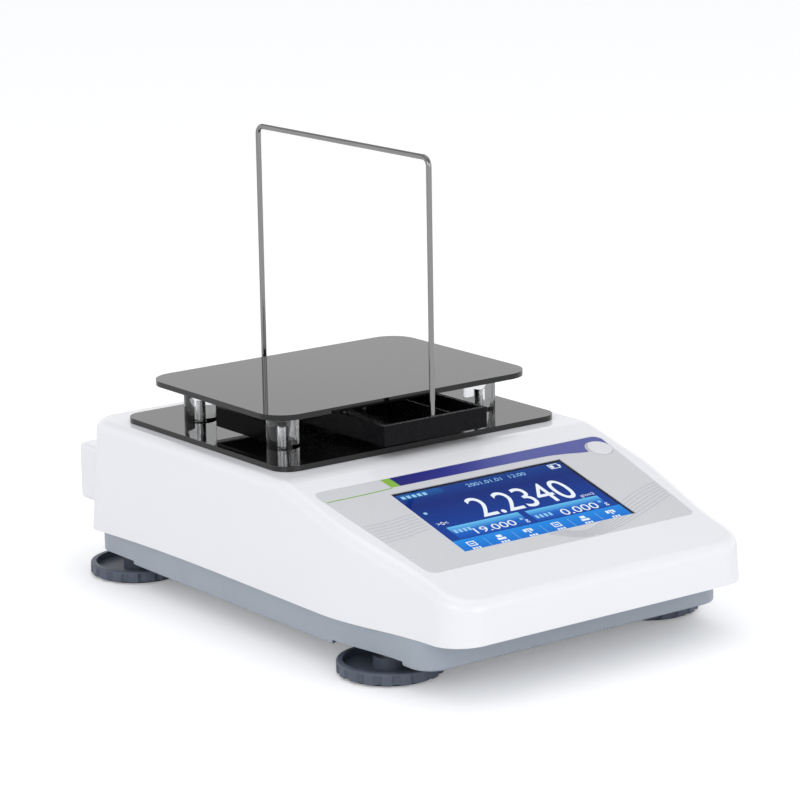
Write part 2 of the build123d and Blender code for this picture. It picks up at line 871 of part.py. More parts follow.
with BuildPart() as key_board:
    with BuildSketch(panel_plane.offset(-case_wall - key_board_drop)):
        with Locations((key_across, key_up)):
            Rectangle(key_board_width, key_board_depth)
    extrude(amount=-key_board_thick)
    with BuildSketch(panel_plane.offset(-case_wall - key_board_drop)):
        with Locations((key_across, key_up)):
            Rectangle(key_switch_width, key_switch_width)
    extrude(amount=key_board_drop - key_flange_thick - key_travel - key_switch_gap)
    with BuildSketch(panel_plane.offset(-case_wall - key_board_drop)):
        with Locations((key_across, key_up)):
            Circle(key_plunger_radius)
    extrude(amount=key_board_drop - key_flange_thick - key_travel - key_plunger_gap)
save(key_board.part, "key_board")


# Main board with its larger components, and its screws
with BuildPart() as main_board:
    with BuildSketch(Plane.XY.offset(board_height)):
        with Locations((0, board_y)):
            Rectangle(board_width, board_depth)
        with Locations(*board_points):
            Circle(board_screw_radius + pilot_gap, mode=Mode.SUBTRACT)
    extrude(amount=board_thick)
    for x, y, width, depth, height in board_components:
        with BuildSketch(Plane.XY.offset(board_height + board_thick)):
            with Locations((x, board_y + y)):
                Rectangle(width, depth)
        extrude(amount=height)
save(main_board.part, "main_board")

with BuildPart() as board_screws:
    with BuildSketch(Plane.XY.offset(board_height + board_thick)):
        with Locations(*board_points):
            Circle(board_head_radius)
    extrude(amount=board_head_thick)
    with BuildSketch(Plane.XY.offset(board_height + board_thick)):
        with Locations(*board_points):
            Circle(board_screw_radius)
    extrude(amount=-board_thick - board_screw_hole + screw_end_gap)
save(board_screws.part, "board_screws")


# Weighing cell on its steel bed
with BuildPart() as cell_bed:
    with BuildSketch(Plane.XY.offset(bed_z)):
        with Locations((0, cell_y)):
            RectangleRounded(bed_width, bed_depth, bed_screw_inset)
        with Locations(*bed_points):
            Circle(case_screw_radius + fit_gap, mode=Mode.SUBTRACT)
        with Locations(*fixed_bolts):
            Circle(cell_bolt + fit_gap, mode=Mode.SUBTRACT)
        with Locations(stop_point):
            Circle(stop_radius + pilot_gap, mode=Mode.SUBTRACT)
    extrude(amount=bed_thick)
save(cell_bed.part, "cell_bed")

with BuildPart() as bed_screws:
    with BuildSketch(Plane.XY.offset(bed_z + bed_thick)):
        with Locations(*bed_points):
            Circle(case_head_radius)
    extrude(amount=case_head_thick)
    with BuildSketch(Plane.XY.offset(bed_z + bed_thick)):
        with Locations(*bed_points):
            Circle(case_screw_radius)
    extrude(amount=-bed_thick - bed_stand)
save(bed_screws.part, "bed_screws")

with BuildPart() as cell_block:
    with BuildSketch(Plane.XY.offset(bed_z + bed_thick)):
        with Locations((0, cell_rear_y - block_length / 2)):
            Rectangle(cell_width, block_length)
        with Locations(*fixed_bolts):
            Circle(cell_bolt + fit_gap, mode=Mode.SUBTRACT)
    extrude(amount=block_height)
save(cell_block.part, "cell_block")

with BuildPart() as load_cell:
    with BuildSketch(Plane.XY.offset(cell_z)):
        with Locations((0, cell_y)):
            Rectangle(cell_width, cell_length)
    extrude(amount=cell_height)
    with BuildSketch(Plane.YZ):
        with Locations(
            (cell_y - cell_hole_spacing / 2, cell_z + cell_height / 2),
            (cell_y + cell_hole_spacing / 2, cell_z + cell_height / 2),
        ):
            Circle(cell_hole)
        with Locations((cell_y, cell_z + cell_height / 2)):
            Rectangle(cell_hole_spacing, cell_slot)
    extrude(amount=cell_width, both=True, mode=Mode.SUBTRACT)
    with BuildSketch(Plane.XY.offset(cell_z + cell_height)):
        with Locations(*live_bolts):
            Circle(cell_bolt + pilot_gap)
    extrude(amount=-cell_height / 2, mode=Mode.SUBTRACT)
    with BuildSketch(Plane.XY.offset(cell_z)):
        with Locations(*fixed_bolts):
            Circle(cell_bolt + pilot_gap)
    extrude(amount=cell_height / 2, mode=Mode.SUBTRACT)
save(load_cell.part, "load_cell")

with BuildPart() as fixed_screws:
    with BuildSketch(Plane.XY.offset(bed_z)):
        with Locations(*fixed_bolts):
            Circle(cell_bolt_head)
    extrude(amount=-bed_stand)
    with BuildSketch(Plane.XY.offset(bed_z)):
        with Locations(*fixed_bolts):
            Circle(cell_bolt)
    extrude(amount=bed_thick + block_height + cell_height / 2 - screw_end_gap)
save(fixed_screws.part, "cell_fixed_screws")

with BuildPart() as overload_stop:
    with BuildSketch(Plane.XY.offset(bed_z)):
        with Locations(stop_point):
            Circle(stop_radius)
    extrude(amount=cell_z - stop_gap - bed_z)
    with BuildSketch(Plane.XY.offset(bed_z + bed_thick)):
        with Locations(stop_point):
            RegularPolygon(stop_nut_across / 2, 6, major_radius=False)
    extrude(amount=stop_nut_thick)
save(overload_stop.part, "overload_stop")


# What the live end of the cell carries: spacer, arm, post, tray and frame
with BuildPart() as cell_spacer:
    with BuildSketch(Plane.XY.offset(cell_z + cell_height)):
        with Locations((0, cell_front_y + block_length / 2)):
            Rectangle(cell_width, block_length)
        with Locations(*live_bolts):
            Circle(cell_bolt + fit_gap, mode=Mode.SUBTRACT)
    extrude(amount=spacer_height)
save(cell_spacer.part, "cell_spacer")

with BuildPart() as tray_arm:
    arm_end = cell_y + post_foot_radius + case_wall
    with BuildSketch(Plane.XY.offset(arm_z)):
        with Locations((0, (cell_front_y + arm_end) / 2)):
            RectangleRounded(arm_width, arm_end - cell_front_y, arm_thick / 2)
        with Locations(*live_bolts):
            Circle(cell_bolt + fit_gap, mode=Mode.SUBTRACT)
    extrude(amount=arm_thick)
save(tray_arm.part, "tray_arm")

with BuildPart() as live_screws:
    with BuildSketch(Plane.XY.offset(arm_z + arm_thick)):
        with Locations(*live_bolts):
            Circle(cell_bolt_head)
    extrude(amount=cell_bolt)
    with BuildSketch(Plane.XY.offset(arm_z + arm_thick)):
        with Locations(*live_bolts):
            Circle(cell_bolt)
    extrude(amount=-(arm_thick + spacer_height + cell_height / 2 - screw_end_gap))
save(live_screws.part, "cell_live_screws")

with BuildPart() as tray_post:
    with BuildSketch(Plane.XY.offset(post_z)):
        with Locations((0, tray_y)):
            Circle(post_foot_radius)
    extrude(amount=post_foot_thick)
    with BuildSketch(Plane.XY.offset(post_z + post_foot_thick)):
        with Locations((0, tray_y)):
            Circle(post_radius)
    extrude(amount=post_head_z - post_z - post_foot_thick)
    with BuildSketch(Plane.XY.offset(post_head_z)):
        with Locations((0, tray_y)):
            Circle(post_head_radius)
        with Locations(*tray_screw_points):
            Circle(tray_screw_radius + pilot_gap, mode=Mode.SUBTRACT)
    extrude(amount=post_head_thick)
save(tray_post.part, "tray_post")

with BuildPart() as tray:
    with BuildSketch(Plane.XY.offset(tray_z)):
        with Locations((0, tray_y)):
            Rectangle(tray_width, tray_depth)
    extrude(amount=tray_height)
    with BuildSketch(Plane.XY.offset(tray_z + tray_floor)):
        with Locations((0, tray_y)):
            Rectangle(tray_width - 2 * tray_wall, tray_depth - 2 * tray_wall)
    extrude(amount=tray_height, mode=Mode.SUBTRACT)
    with BuildSketch(Plane.XY.offset(tray_z + tray_floor)):
        with Locations((divider_across, tray_y)):
            Rectangle(divider_thick, tray_depth - 2 * tray_wall)
    extrude(amount=tray_height - tray_floor - divider_drop)
    with BuildSketch(Plane.XY.offset(tray_z + tray_floor)):
        with Locations(*[(0, y) for y in leg_ys]):
            Circle(socket_radius)
    extrude(amount=socket_depth)
    with BuildSketch(Plane.XY.offset(tray_z + tray_floor)):
        with Locations(*[(0, y) for y in leg_ys]):
            Circle(wire_radius + wire_gap)
    extrude(amount=tray_height, mode=Mode.SUBTRACT)
    with BuildSketch(Plane.XY.offset(tray_z)):
        with Locations(*tray_screw_points):
            Circle(tray_screw_radius + fit_gap)
    extrude(amount=tray_floor, mode=Mode.SUBTRACT)
save(tray.part, "weighing_tray")

with BuildPart() as tray_screws:
    with BuildSketch(Plane.XY.offset(tray_z + tray_floor)):
        with Locations(*tray_screw_points):
            Circle(tray_screw_head)
    extrude(amount=tray_screw_radius)
    with BuildSketch(Plane.XY.offset(tray_z + tray_floor)):
        with Locations(*tray_screw_points):
            Circle(tray_screw_radius)
    extrude(amount=-tray_floor - post_head_thick)
save(tray_screws.part, "tray_screws")

with BuildPart() as hanging_frame:
    with BuildLine(Plane.YZ) as path:
        FilletPolyline(
            (leg_ys[0], tray_z + tray_floor),
            (leg_ys[0], wire_top - wire_radius),
            (leg_ys[1], wire_top - wire_radius),
            (leg_ys[1], tray_z + tray_floor),
            radius=wire_bend,
        )
    with BuildSketch(Plane(origin=(0, leg_ys[0], tray_z + tray_floor), z_dir=(0, 0, 1))):
        Circle(wire_radius)
    sweep(path=path.line)
save(hanging_frame.part, "hanging_frame")


# Platform stand: lower plate, four clear columns, platform and screws
with BuildPart() as lower_plate:
    add(rounded_plate(plate_width, plate_depth, plate_corner, plate_thick, deck_height))
    with BuildSketch(Plane.XY.offset(deck_height)):
        with Locations((0, tray_y)):
            Circle(post_hole_radius)
        with Locations(*column_points):
            Circle(column_screw_radius + fit_gap)
    extrude(amount=plate_thick, mode=Mode.SUBTRACT)
save(lower_plate.part, "lower_plate")

for name, x, y in column_places:
    with BuildPart() as column:
        with BuildSketch(Plane(origin=(x, y, plate_top))):
            Circle(column_radius)
        extrude(amount=column_height)
        with BuildSketch(Plane(origin=(x, y, plate_top))):
            Circle(column_screw_radius + pilot_gap)
        extrude(amount=column_hole_depth, mode=Mode.SUBTRACT)
    save(column.part, f"column_{name}")

with BuildPart() as platform:
    add(rounded_plate(platform_width, platform_depth, platform_corner, plate_thick, platform_z))
save(platform.part, "beaker_platform")

with BuildPart() as column_screws:
    with BuildSketch(Plane.XY.offset(deck_height - case_wall)):
        with Locations(*column_points):
            Circle(column_head_radius)
    extrude(amount=-column_head_thick)
    with BuildSketch(Plane.XY.offset(deck_height - case_wall)):
        with Locations(*column_points):
            Circle(column_screw_radius)
    extrude(amount=case_wall + plate_thick + column_hole_depth - screw_end_gap)
save(column_screws.part, "column_screws")


# Spirit level, let into the deck behind the plate
with BuildPart() as spirit_level:
    with BuildSketch(Plane.XY.offset(deck_height - level_height)):
        with Locations((0, level_y)):
            Circle(level_radius)
    extrude(amount=level_height)
    with BuildSketch(Plane.XY.offset(deck_height)):
        with Locations((0, level_y)):
            Circle(level_rim_radius)
    extrude(amount=level_rim_thick)
save(spirit_level.part, "spirit_level")


# Connector cover on the rear wall, with its sockets, switch and screws
with BuildPart() as port_cover:
    cover_front_y = rear_y - rear_corner
    with BuildSketch(Plane.XY.offset(port_cover_bottom)):
        with Locations((0, (cover_front_y + back_y) / 2)):
            Rectangle(port_cover_width, back_y - cover_front_y)
    extrude(amount=port_cover_top - port_cover_bottom)
    fillet(port_cover.edges().filter_by(Axis.Z).group_by(Axis.Y)[-1], port_cover_corner)
    fillet(port_cover.faces().sort_by(Axis.Z)[-1].edges().sort_by(Axis.Y)[1:], port_cover_edge)
    fillet(port_cover.faces().sort_by(Axis.Z)[0].edges().sort_by(Axis.Y)[1:], port_cover_edge)
    with BuildSketch(Plane.XY.offset(port_cover_bottom + port_cover_wall)):
        with Locations((0, port_face_y - port_cover_wall - rear_corner)):
            Rectangle(port_cover_width - 2 * port_cover_wall, 2 * rear_corner)
    extrude(amount=port_cover_top - port_cover_bottom - 2 * port_cover_wall, mode=Mode.SUBTRACT)
    with BuildSketch(port_plane.offset(-port_cover_wall)):
        with Locations(*port_screw_points):
            Circle(port_post_radius)
    extrude(amount=-(port_face_y - rear_y))
    add(outer_form, mode=Mode.SUBTRACT)
    with BuildSketch(back_plane):
        RectangleRounded(port_recess_width, port_recess_height, port_recess_corner)
    extrude(amount=-port_recess, mode=Mode.SUBTRACT)
    with BuildSketch(port_plane):
        with Locations((-jack_across, 0)):
            Circle(jack_radius + fit_gap)
        with Locations((-data_across, 0)):
            Rectangle(data_width + 2 * fit_gap, data_height + 2 * fit_gap)
        with Locations((-switch_across, 0)):
            Rectangle(switch_width + 2 * fit_gap, switch_height + 2 * fit_gap)
    extrude(amount=-2 * port_cover_wall, mode=Mode.SUBTRACT)
    with BuildSketch(back_plane):
        with Locations(*port_screw_points):
            Circle(case_screw_radius + fit_gap)
    extrude(amount=-overall_depth, mode=Mode.SUBTRACT)
    with BuildSketch(back_plane):
        with Locations(*port_screw_points):
            Circle(case_head_radius + fit_gap)
    extrude(amount=-case_head_thick, mode=Mode.SUBTRACT)
save(port_cover.part, "port_cover")

with BuildPart() as port_screws:
    with BuildSketch(back_plane.offset(-case_head_thick)):
        with Locations(*port_screw_points):
            Circle(case_head_radius)
    extrude(amount=case_head_thick)
    with BuildSketch(back_plane.offset(-case_head_thick)):
        with Locations(*port_screw_points):
            Circle(case_screw_radius)
    extrude(amount=-(back_y - case_head_thick - rear_y + port_boss_length - screw_end_gap))
save(port_screws.part, "port_cover_screws")

with BuildPart() as power_jack:
    with BuildSketch(port_plane):
        with Locations((-jack_across, 0)):
            Circle(jack_radius)
    extrude(amount=-jack_length)
    with BuildSketch(port_plane):
        with Locations((-jack_across, 0)):
            Circle(jack_flange_radius)
    extrude(amount=jack_flange_thick)
    with BuildSketch(port_plane.offset(jack_flange_thick)):
        with Locations((-jack_across, 0)):
            Circle(jack_bore)
    extrude(amount=-jack_bore_depth, mode=Mode.SUBTRACT)
    with BuildSketch(port_plane.offset(jack_flange_thick - jack_bore_depth)):
        with Locations((-jack_across, 0)):
            Circle(jack_pin_radius)
    extrude(amount=jack_bore_depth - jack_pin_inset)
save(power_jack.part, "power_jack")

with BuildPart() as data_socket:
    with BuildSketch(port_plane):
        with Locations((-data_across, 0)):
            Rectangle(data_width, data_height)
    extrude(amount=-data_depth)
    with BuildSketch(port_plane):
        with Locations((-data_across, 0)):
            Rectangle(data_mouth_width, data_mouth_height)
    extrude(amount=-data_mouth_depth, mode=Mode.SUBTRACT)
    with BuildSketch(port_plane.offset(-data_mouth_depth)):
        with Locations((-data_across, 0)):
            Rectangle(data_tongue_width, data_tongue_height)
    extrude(amount=data_tongue_depth)
save(data_socket.part, "data_socket")

with BuildPart() as switch_body:
    with BuildSketch(port_plane):
        with Locations((-switch_across, 0)):
            Rectangle(switch_width, switch_height)
    extrude(amount=-switch_body_depth)
    with BuildSketch(port_plane):
        with Locations((-switch_across, 0)):
            Rectangle(switch_width + 2 * switch_bezel, switch_height + 2 * switch_bezel)
    extrude(amount=switch_bezel_thick)
    with BuildSketch(port_plane.offset(switch_bezel_thick)):
        with Locations((-switch_across, 0)):
            Rectangle(switch_width - 2 * switch_wall, 2 * (rocker_radius + rocker_gap))
    extrude(amount=-switch_body_depth, mode=Mode.SUBTRACT)
    with BuildSketch(Plane.YZ.offset(switch_across)):
        with Locations(pivot[1:]):
            Circle(rocker_pivot_radius)
    extrude(amount=switch_width / 2 - switch_wall / 2, both=True)
save(switch_body.part, "power_switch_body")

with BuildPart() as rocker:
    with BuildSketch(Plane.YZ.offset(switch_across)) as profile:
        with Locations(pivot[1:]):
            Circle(rocker_radius)
        with Locations((pivot[1] - rocker_cut, pivot[2])):
            Rectangle(2 * rocker_radius, 2 * rocker_radius, mode=Mode.SUBTRACT)
        with Locations(pivot[1:]):
            Circle(rocker_pivot_radius * 2)
        for side in (-1, 1):
            with BuildLine():
                tilt = radians(rocker_tilt * (1 - side))
                face_y = pivot[1] + rocker_face
                Polyline(
                    (face_y, pivot[2]),
                    (face_y + 2 * rocker_radius * sin(tilt), pivot[2] + side * 2 * rocker_radius * cos(tilt)),
                    (face_y + 2 * rocker_radius, pivot[2] + side * 2 * rocker_radius),
                    (face_y + 2 * rocker_radius, pivot[2]),
                    close=True,
                )
            make_face(mode=Mode.SUBTRACT)
        with Locations(pivot[1:]):
            Circle(rocker_pivot_radius + rocker_pivot_gap, mode=Mode.SUBTRACT)
    extrude(amount=switch_width / 2 - switch_wall - fit_gap, both=True)
save(rocker.part, "power_rocker")
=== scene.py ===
import json
import math
import bpy
import bmesh
from mathutils import Matrix, Vector


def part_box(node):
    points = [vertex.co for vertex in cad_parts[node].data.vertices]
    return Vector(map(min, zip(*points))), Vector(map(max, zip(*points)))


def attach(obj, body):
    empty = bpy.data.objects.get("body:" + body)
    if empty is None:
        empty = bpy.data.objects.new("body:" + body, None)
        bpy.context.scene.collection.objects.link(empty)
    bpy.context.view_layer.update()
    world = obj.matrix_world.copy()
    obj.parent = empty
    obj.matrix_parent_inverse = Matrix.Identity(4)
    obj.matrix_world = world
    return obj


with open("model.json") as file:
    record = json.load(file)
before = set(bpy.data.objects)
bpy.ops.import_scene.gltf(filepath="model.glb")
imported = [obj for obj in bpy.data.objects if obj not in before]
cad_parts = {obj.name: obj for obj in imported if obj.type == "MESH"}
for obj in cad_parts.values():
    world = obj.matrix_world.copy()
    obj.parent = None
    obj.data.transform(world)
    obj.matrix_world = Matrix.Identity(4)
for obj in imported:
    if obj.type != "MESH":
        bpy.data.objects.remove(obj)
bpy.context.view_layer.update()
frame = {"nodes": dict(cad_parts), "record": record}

scene = bpy.context.scene
nodes = frame["nodes"]
MM = 0.001

# Panel frame: u to the right, v up the slope, w out of the panel, in millimetres
PANEL_TILT = math.radians(15.2)
PANEL_ORIGIN = Vector((0.0, -99.75, 70.827))
PANEL_U = Vector((1, 0, 0))
PANEL_V = Vector((0, math.cos(PANEL_TILT), math.sin(PANEL_TILT)))
PANEL_W = Vector((0, -math.sin(PANEL_TILT), math.cos(PANEL_TILT)))
SCREEN_HALF = (55.44, 31.415)
DISPLAY_FACE = -1.9


def on_panel(u, v, w=0.0):
    return (PANEL_ORIGIN + PANEL_U * u + PANEL_V * v + PANEL_W * w) * MM


def srgb(*rgb):
    """Linear colour of an 8-bit display colour."""
    out = []
    for value in rgb:
        x = value / 255
        out.append(x / 12.92 if x <= 0.04045 else ((x + 0.055) / 1.055) ** 2.4)
    return tuple(out) + (1.0,)


# Materials
def new_material(name):
    made = bpy.data.materials.new(name)
    made.use_nodes = True
    tree = made.node_tree
    shader = tree.nodes["Principled BSDF"]
    return made, tree, shader


def noise(tree, scale, detail=4.0, stretch=None):
    """A noise texture in object space, its size in features per metre."""
    coord = tree.nodes.new("ShaderNodeTexCoord")
    source = coord.outputs["Object"]
    if stretch:
        mapping = tree.nodes.new("ShaderNodeMapping")
        mapping.inputs["Scale"].default_value = stretch
        tree.links.new(source, mapping.inputs["Vector"])
        source = mapping.outputs["Vector"]
    texture = tree.nodes.new("ShaderNodeTexNoise")
    texture.inputs["Scale"].default_value = scale
    texture.inputs["Detail"].default_value = detail
    tree.links.new(source, texture.inputs["Vector"])
    return texture.outputs["Fac"]


def spread(tree, value, low, high):
    """Maps a noise value to a range."""
    remap = tree.nodes.new("ShaderNodeMapRange")
    remap.inputs["From Min"].default_value = 0.3
    remap.inputs["From Max"].default_value = 0.7
    remap.inputs["To Min"].default_value = low
    remap.inputs["To Max"].default_value = high
    tree.links.new(value, remap.inputs["Value"])
    return remap.outputs["Result"]


def ramp(tree, value, low, high, stops=(0.3, 0.7)):
    node = tree.nodes.new("ShaderNodeValToRGB")
    node.color_ramp.elements[0].position = stops[0]
    node.color_ramp.elements[1].position = stops[1]
    node.color_ramp.elements[0].color = low
    node.color_ramp.elements[1].color = high
    tree.links.new(value, node.inputs["Fac"])
    return node.outputs["Color"]


def bump(tree, shader, value, strength, distance):
    node = tree.nodes.new("ShaderNodeBump")
    node.inputs["Strength"].default_value = strength
    node.inputs["Distance"].default_value = distance
    tree.links.new(value, node.inputs["Height"])
    tree.links.new(node.outputs["Normal"], shader.inputs["Normal"])


def surface(name, color, rough, metal=0.0, vary=0.04, tone_scale=60, grain=900, grain_depth=0.0,
            rough_vary=0.04, coat=0.0, spec=0.5, stretch=None, ior=1.5):
    """A general surface: slight tone and gloss variation and, where asked, a fine grain."""
    made, tree, shader = new_material(name)
    tone = noise(tree, tone_scale, stretch=stretch)
    low = tuple(c * (1 - vary) for c in color[:3]) + (1.0,)
    high = tuple(min(1.0, c * (1 + vary)) for c in color[:3]) + (1.0,)
    tree.links.new(ramp(tree, tone, low, high), shader.inputs["Base Color"])
    fine = noise(tree, grain, detail=3.0, stretch=stretch)
    least = max(0.0, rough - rough_vary)
    tree.links.new(spread(tree, fine, least, rough + rough_vary), shader.inputs["Roughness"])
    shader.inputs["Metallic"].default_value = metal
    shader.inputs["IOR"].default_value = ior
    shader.inputs["Specular IOR Level"].default_value = spec
    shader.inputs["Coat Weight"].default_value = coat
    shader.inputs["Coat Roughness"].default_value = 0.04
    if grain_depth:
        bump(tree, shader, fine, 0.6, grain_depth)
    return made


def clear(name, color, ior=1.49, rough=0.01):
    made, tree, shader = new_material(name)
    shader.inputs["Base Color"].default_value = color
    shader.inputs["Transmission Weight"].default_value = 1.0
    shader.inputs["IOR"].default_value = ior
    fine = noise(tree, 140.0)
    tree.links.new(spread(tree, fine, 0.0, rough * 2), shader.inputs["Roughness"])
    return made


def lit(name, color):
    """A lit part of the screen picture."""
    made, tree, shader = new_material(name)
    shader.inputs["Base Color"].default_value = (0.0, 0.0, 0.0, 1.0)
    shader.inputs["Specular IOR Level"].default_value = 0.0
    shader.inputs["Emission Color"].default_value = color
    shader.inputs["Emission Strength"].default_value = 1.0
    return made


def color_run(tree, axis, stops):
    """A colour that runs along an axis of the piece's own box, from stops of (place, colour)."""
    coord = tree.nodes.new("ShaderNodeTexCoord")
    split = tree.nodes.new("ShaderNodeSeparateXYZ")
    tree.links.new(coord.outputs["Generated"], split.inputs["Vector"])
    node = tree.nodes.new("ShaderNodeValToRGB")
    while len(node.color_ramp.elements) < len(stops):
        node.color_ramp.elements.new(0.5)
    for element, (place, color) in zip(node.color_ramp.elements, stops):
        element.position = place
        element.color = color
    tree.links.new(split.outputs[axis], node.inputs["Fac"])
    return node.outputs["Color"]


def lit_run(name, stops):
    """A lit area whose colour runs up the panel."""
    made, tree, shader = new_material(name)
    shader.inputs["Base Color"].default_value = (0.0, 0.0, 0.0, 1.0)
    shader.inputs["Specular IOR Level"].default_value = 0.0
    shader.inputs["Emission Strength"].default_value = 1.0
    tree.links.new(color_run(tree, "Y", stops), shader.inputs["Emission Color"])
    return made


casing_white = surface("casing_white_gloss", (0.86, 0.86, 0.885), 0.2, vary=0.006, tone_scale=9,
                       rough_vary=0.02, grain=1500, grain_depth=0.000004, coat=0.3)
base_grey = surface("base_grey_grain", srgb(160, 168, 178), 0.42, vary=0.02, grain=2200, grain_depth=0.00003)
sheet_print = surface("panel_print_satin", srgb(208, 209, 212), 0.3, vary=0.012, tone_scale=14, grain=1800,
                      grain_depth=0.000006)
plate_black = surface("plate_black_gloss", (0.004, 0.004, 0.0045), 0.012, vary=0.1, rough_vary=0.006)
tray_black = surface("tray_black_moulded", (0.004, 0.004, 0.005), 0.24, vary=0.15, spec=0.12,
                     rough_vary=0.05, grain=700, grain_depth=0.000012)
foot_grey = surface("foot_grey_moulded", srgb(82, 90, 104), 0.42, vary=0.07, tone_scale=130, grain=1600,
                    grain_depth=0.00004)
wire_steel = surface("wire_polished", (0.3, 0.295, 0.29), 0.13, metal=1.0, vary=0.05, grain=900,
                     stretch=(1.0, 1.0, 0.05))
screw_steel = surface("screw_plated", (0.55, 0.55, 0.56), 0.28, metal=1.0, vary=0.05)
sheet_steel = surface("sheet_plated", (0.56, 0.57, 0.58), 0.34, metal=1.0, vary=0.06, stretch=(0.2, 1.0, 1.0))
cell_metal = surface("cell_machined", (0.72, 0.73, 0.74), 0.3, metal=1.0, vary=0.04, stretch=(1.0, 0.1, 1.0))
brass = surface("insert_turned", (0.72, 0.52, 0.24), 0.26, metal=1.0, vary=0.05)
connector = surface("connector_moulded", (0.012, 0.012, 0.013), 0.38, vary=0.12, grain=1500,
                    grain_depth=0.00002)
rubber = surface("pad_rubber_matt", (0.012, 0.012, 0.012), 0.8, vary=0.2, grain=1200, grain_depth=0.00004)
board_green = surface("board_mask", (0.01, 0.13, 0.04), 0.3, vary=0.25, tone_scale=400)
battery_wrap = surface("battery_film", (0.02, 0.05, 0.2), 0.3, vary=0.1)
key_face = surface("key_satin", srgb(222, 223, 226), 0.32, vary=0.01, grain=1800, grain_depth=0.000006)
acrylic = clear("column_acrylic", (0.97, 0.985, 0.99, 1.0))
touch_glass = clear("panel_glass_clear", (0.98, 0.985, 1.0, 1.0), ior=1.22, rough=0.004)
vial = clear("level_vial", (0.8, 0.95, 0.35, 1.0), ior=1.4)
display_black = surface("display_matt", (0.004, 0.006, 0.012), 0.3)

looks = {
    "casing_white": casing_white, "base_grey": base_grey, "panel_print": sheet_print,
    "panel_glass": touch_glass, "display_dark": display_black, "sheet_steel": sheet_steel,
    "screw_steel": screw_steel, "circuit_board": board_green, "battery_wrap": battery_wrap,
    "insert_brass": brass, "connector_black": connector, "rocker_black": connector,
    "key_face": key_face, "plate_black": plate_black, "clear_acrylic": acrylic,
    "cell_aluminium": cell_metal, "tray_black": tray_black, "wire_steel": wire_steel,
    "foot_grey": foot_grey, "pad_rubber": rubber, "level_clear": vial,
}
slot_of = {part["node"]: part["material_slot"] for part in frame["record"]["subparts"]}
for name, node in nodes.items():
    look = looks[slot_of[name]]
    if not node.material_slots:
        node.data.materials.append(look)
    for place in node.material_slots:
        place.material = look


# Printed and lit pieces on the panel
def panel_mesh(name, faces, lift, material, body="base"):
    """Flat faces given as (u, v) outlines, laid on the panel at a small lift."""
    mesh = bpy.data.meshes.new(name)
    points, polygons = [], []
    for face in faces:
        start = len(points)
        points += [on_panel(u, v, lift) for u, v in face]
        polygons.append(list(range(start, len(points))))
    mesh.from_pydata(points, [], polygons)
    mesh.update()
    made = bpy.data.objects.new(name, mesh)
    scene.collection.objects.link(made)
    mesh.materials.append(material)
    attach(made, body)
    return made


def box_face(left, bottom, right, top):
    return [(left, bottom), (right, bottom), (right, top), (left, top)]


def strip(points, width):
    """A thin band of quads along a line of (u, v) points."""
    faces = []
    sides = []
    for i, (u, v) in enumerate(points):
        a = points[max(0, i - 1)]
        b = points[min(len(points) - 1, i + 1)]
        run = math.hypot(b[0] - a[0], b[1] - a[1])
        nu, nv = -(b[1] - a[1]) / run * width / 2, (b[0] - a[0]) / run * width / 2
        sides.append(((u + nu, v + nv), (u - nu, v - nv)))
    for one, two in zip(sides, sides[1:]):
        faces.append([one[1], two[1], two[0], one[0]])
    return faces


def arc(centre, radius, start, end, count=16):
    return [
        (centre[0] + radius * math.cos(math.radians(start + (end - start) * i / count)),
         centre[1] + radius * math.sin(math.radians(start + (end - start) * i / count)))
        for i in range(count + 1)
    ]


def smooth(points, steps=10):
    """Points along a Catmull-Rom curve through the given (u, v) points."""
    out = []
    padded = [points[0]] + list(points) + [points[-1]]
    for p0, p1, p2, p3 in zip(padded, padded[1:], padded[2:], padded[3:]):
        for i in range(steps):
            t = i / steps
            out.append(tuple(
                0.5 * (2 * b + (c - a) * t + (2 * a - 5 * b + 4 * c - d) * t * t
                       + (3 * b - a - 3 * c + d) * t ** 3)
                for a, b, c, d in zip(p0, p1, p2, p3)
            ))
    out.append(tuple(points[-1]))
    return out


KEY = (85.6, 34.0)
INK = 0.03
PATCH_INK = 0.039

violet, tree, shader = new_material("band_violet")
violet_stops = [
    (0.0, srgb(18, 22, 116)), (0.24, srgb(34, 38, 138)), (0.55, srgb(82, 90, 160)), (1.0, srgb(86, 92, 162)),
]
tree.links.new(color_run(tree, "X", violet_stops), shader.inputs["Base Color"])
print_grain = noise(tree, 1800)
tree.links.new(spread(tree, print_grain, 0.3, 0.4), shader.inputs["Roughness"])
bump(tree, shader, print_grain, 0.4, 0.000006)
shader.inputs["Specular IOR Level"].default_value = 0.3

band_edge = smooth([(-46.1, 46.8), (-20.0, 46.8), (30.0, 46.8), (89.3, 46.7)], 4)
band_edge += arc((89.3, 41.7), 5.0, 85, 5, 8)
band_edge += arc(KEY, 8.1, 12, 182, 16)
band_edge += smooth([(76.6, 32.9), (72.0, 33.6), (60.0, 35.9), (40.0, 37.2), (-46.1, 37.8)], 6)
panel_mesh("panel_band", [band_edge], INK, violet)

green = surface("accent_green", srgb(134, 184, 58), 0.35, vary=0.03)
patch = [(-51.7, 46.8), (-51.0, 37.8), (-45.2, 37.8), (-46.1, 46.8)]
panel_mesh("panel_green_patch", [patch], PATCH_INK, green)
panel_mesh("panel_green_rule", strip([(-93.0, 36.3), (-70.0, 36.5), (-51.0, 37.2)], 0.8), INK, green)

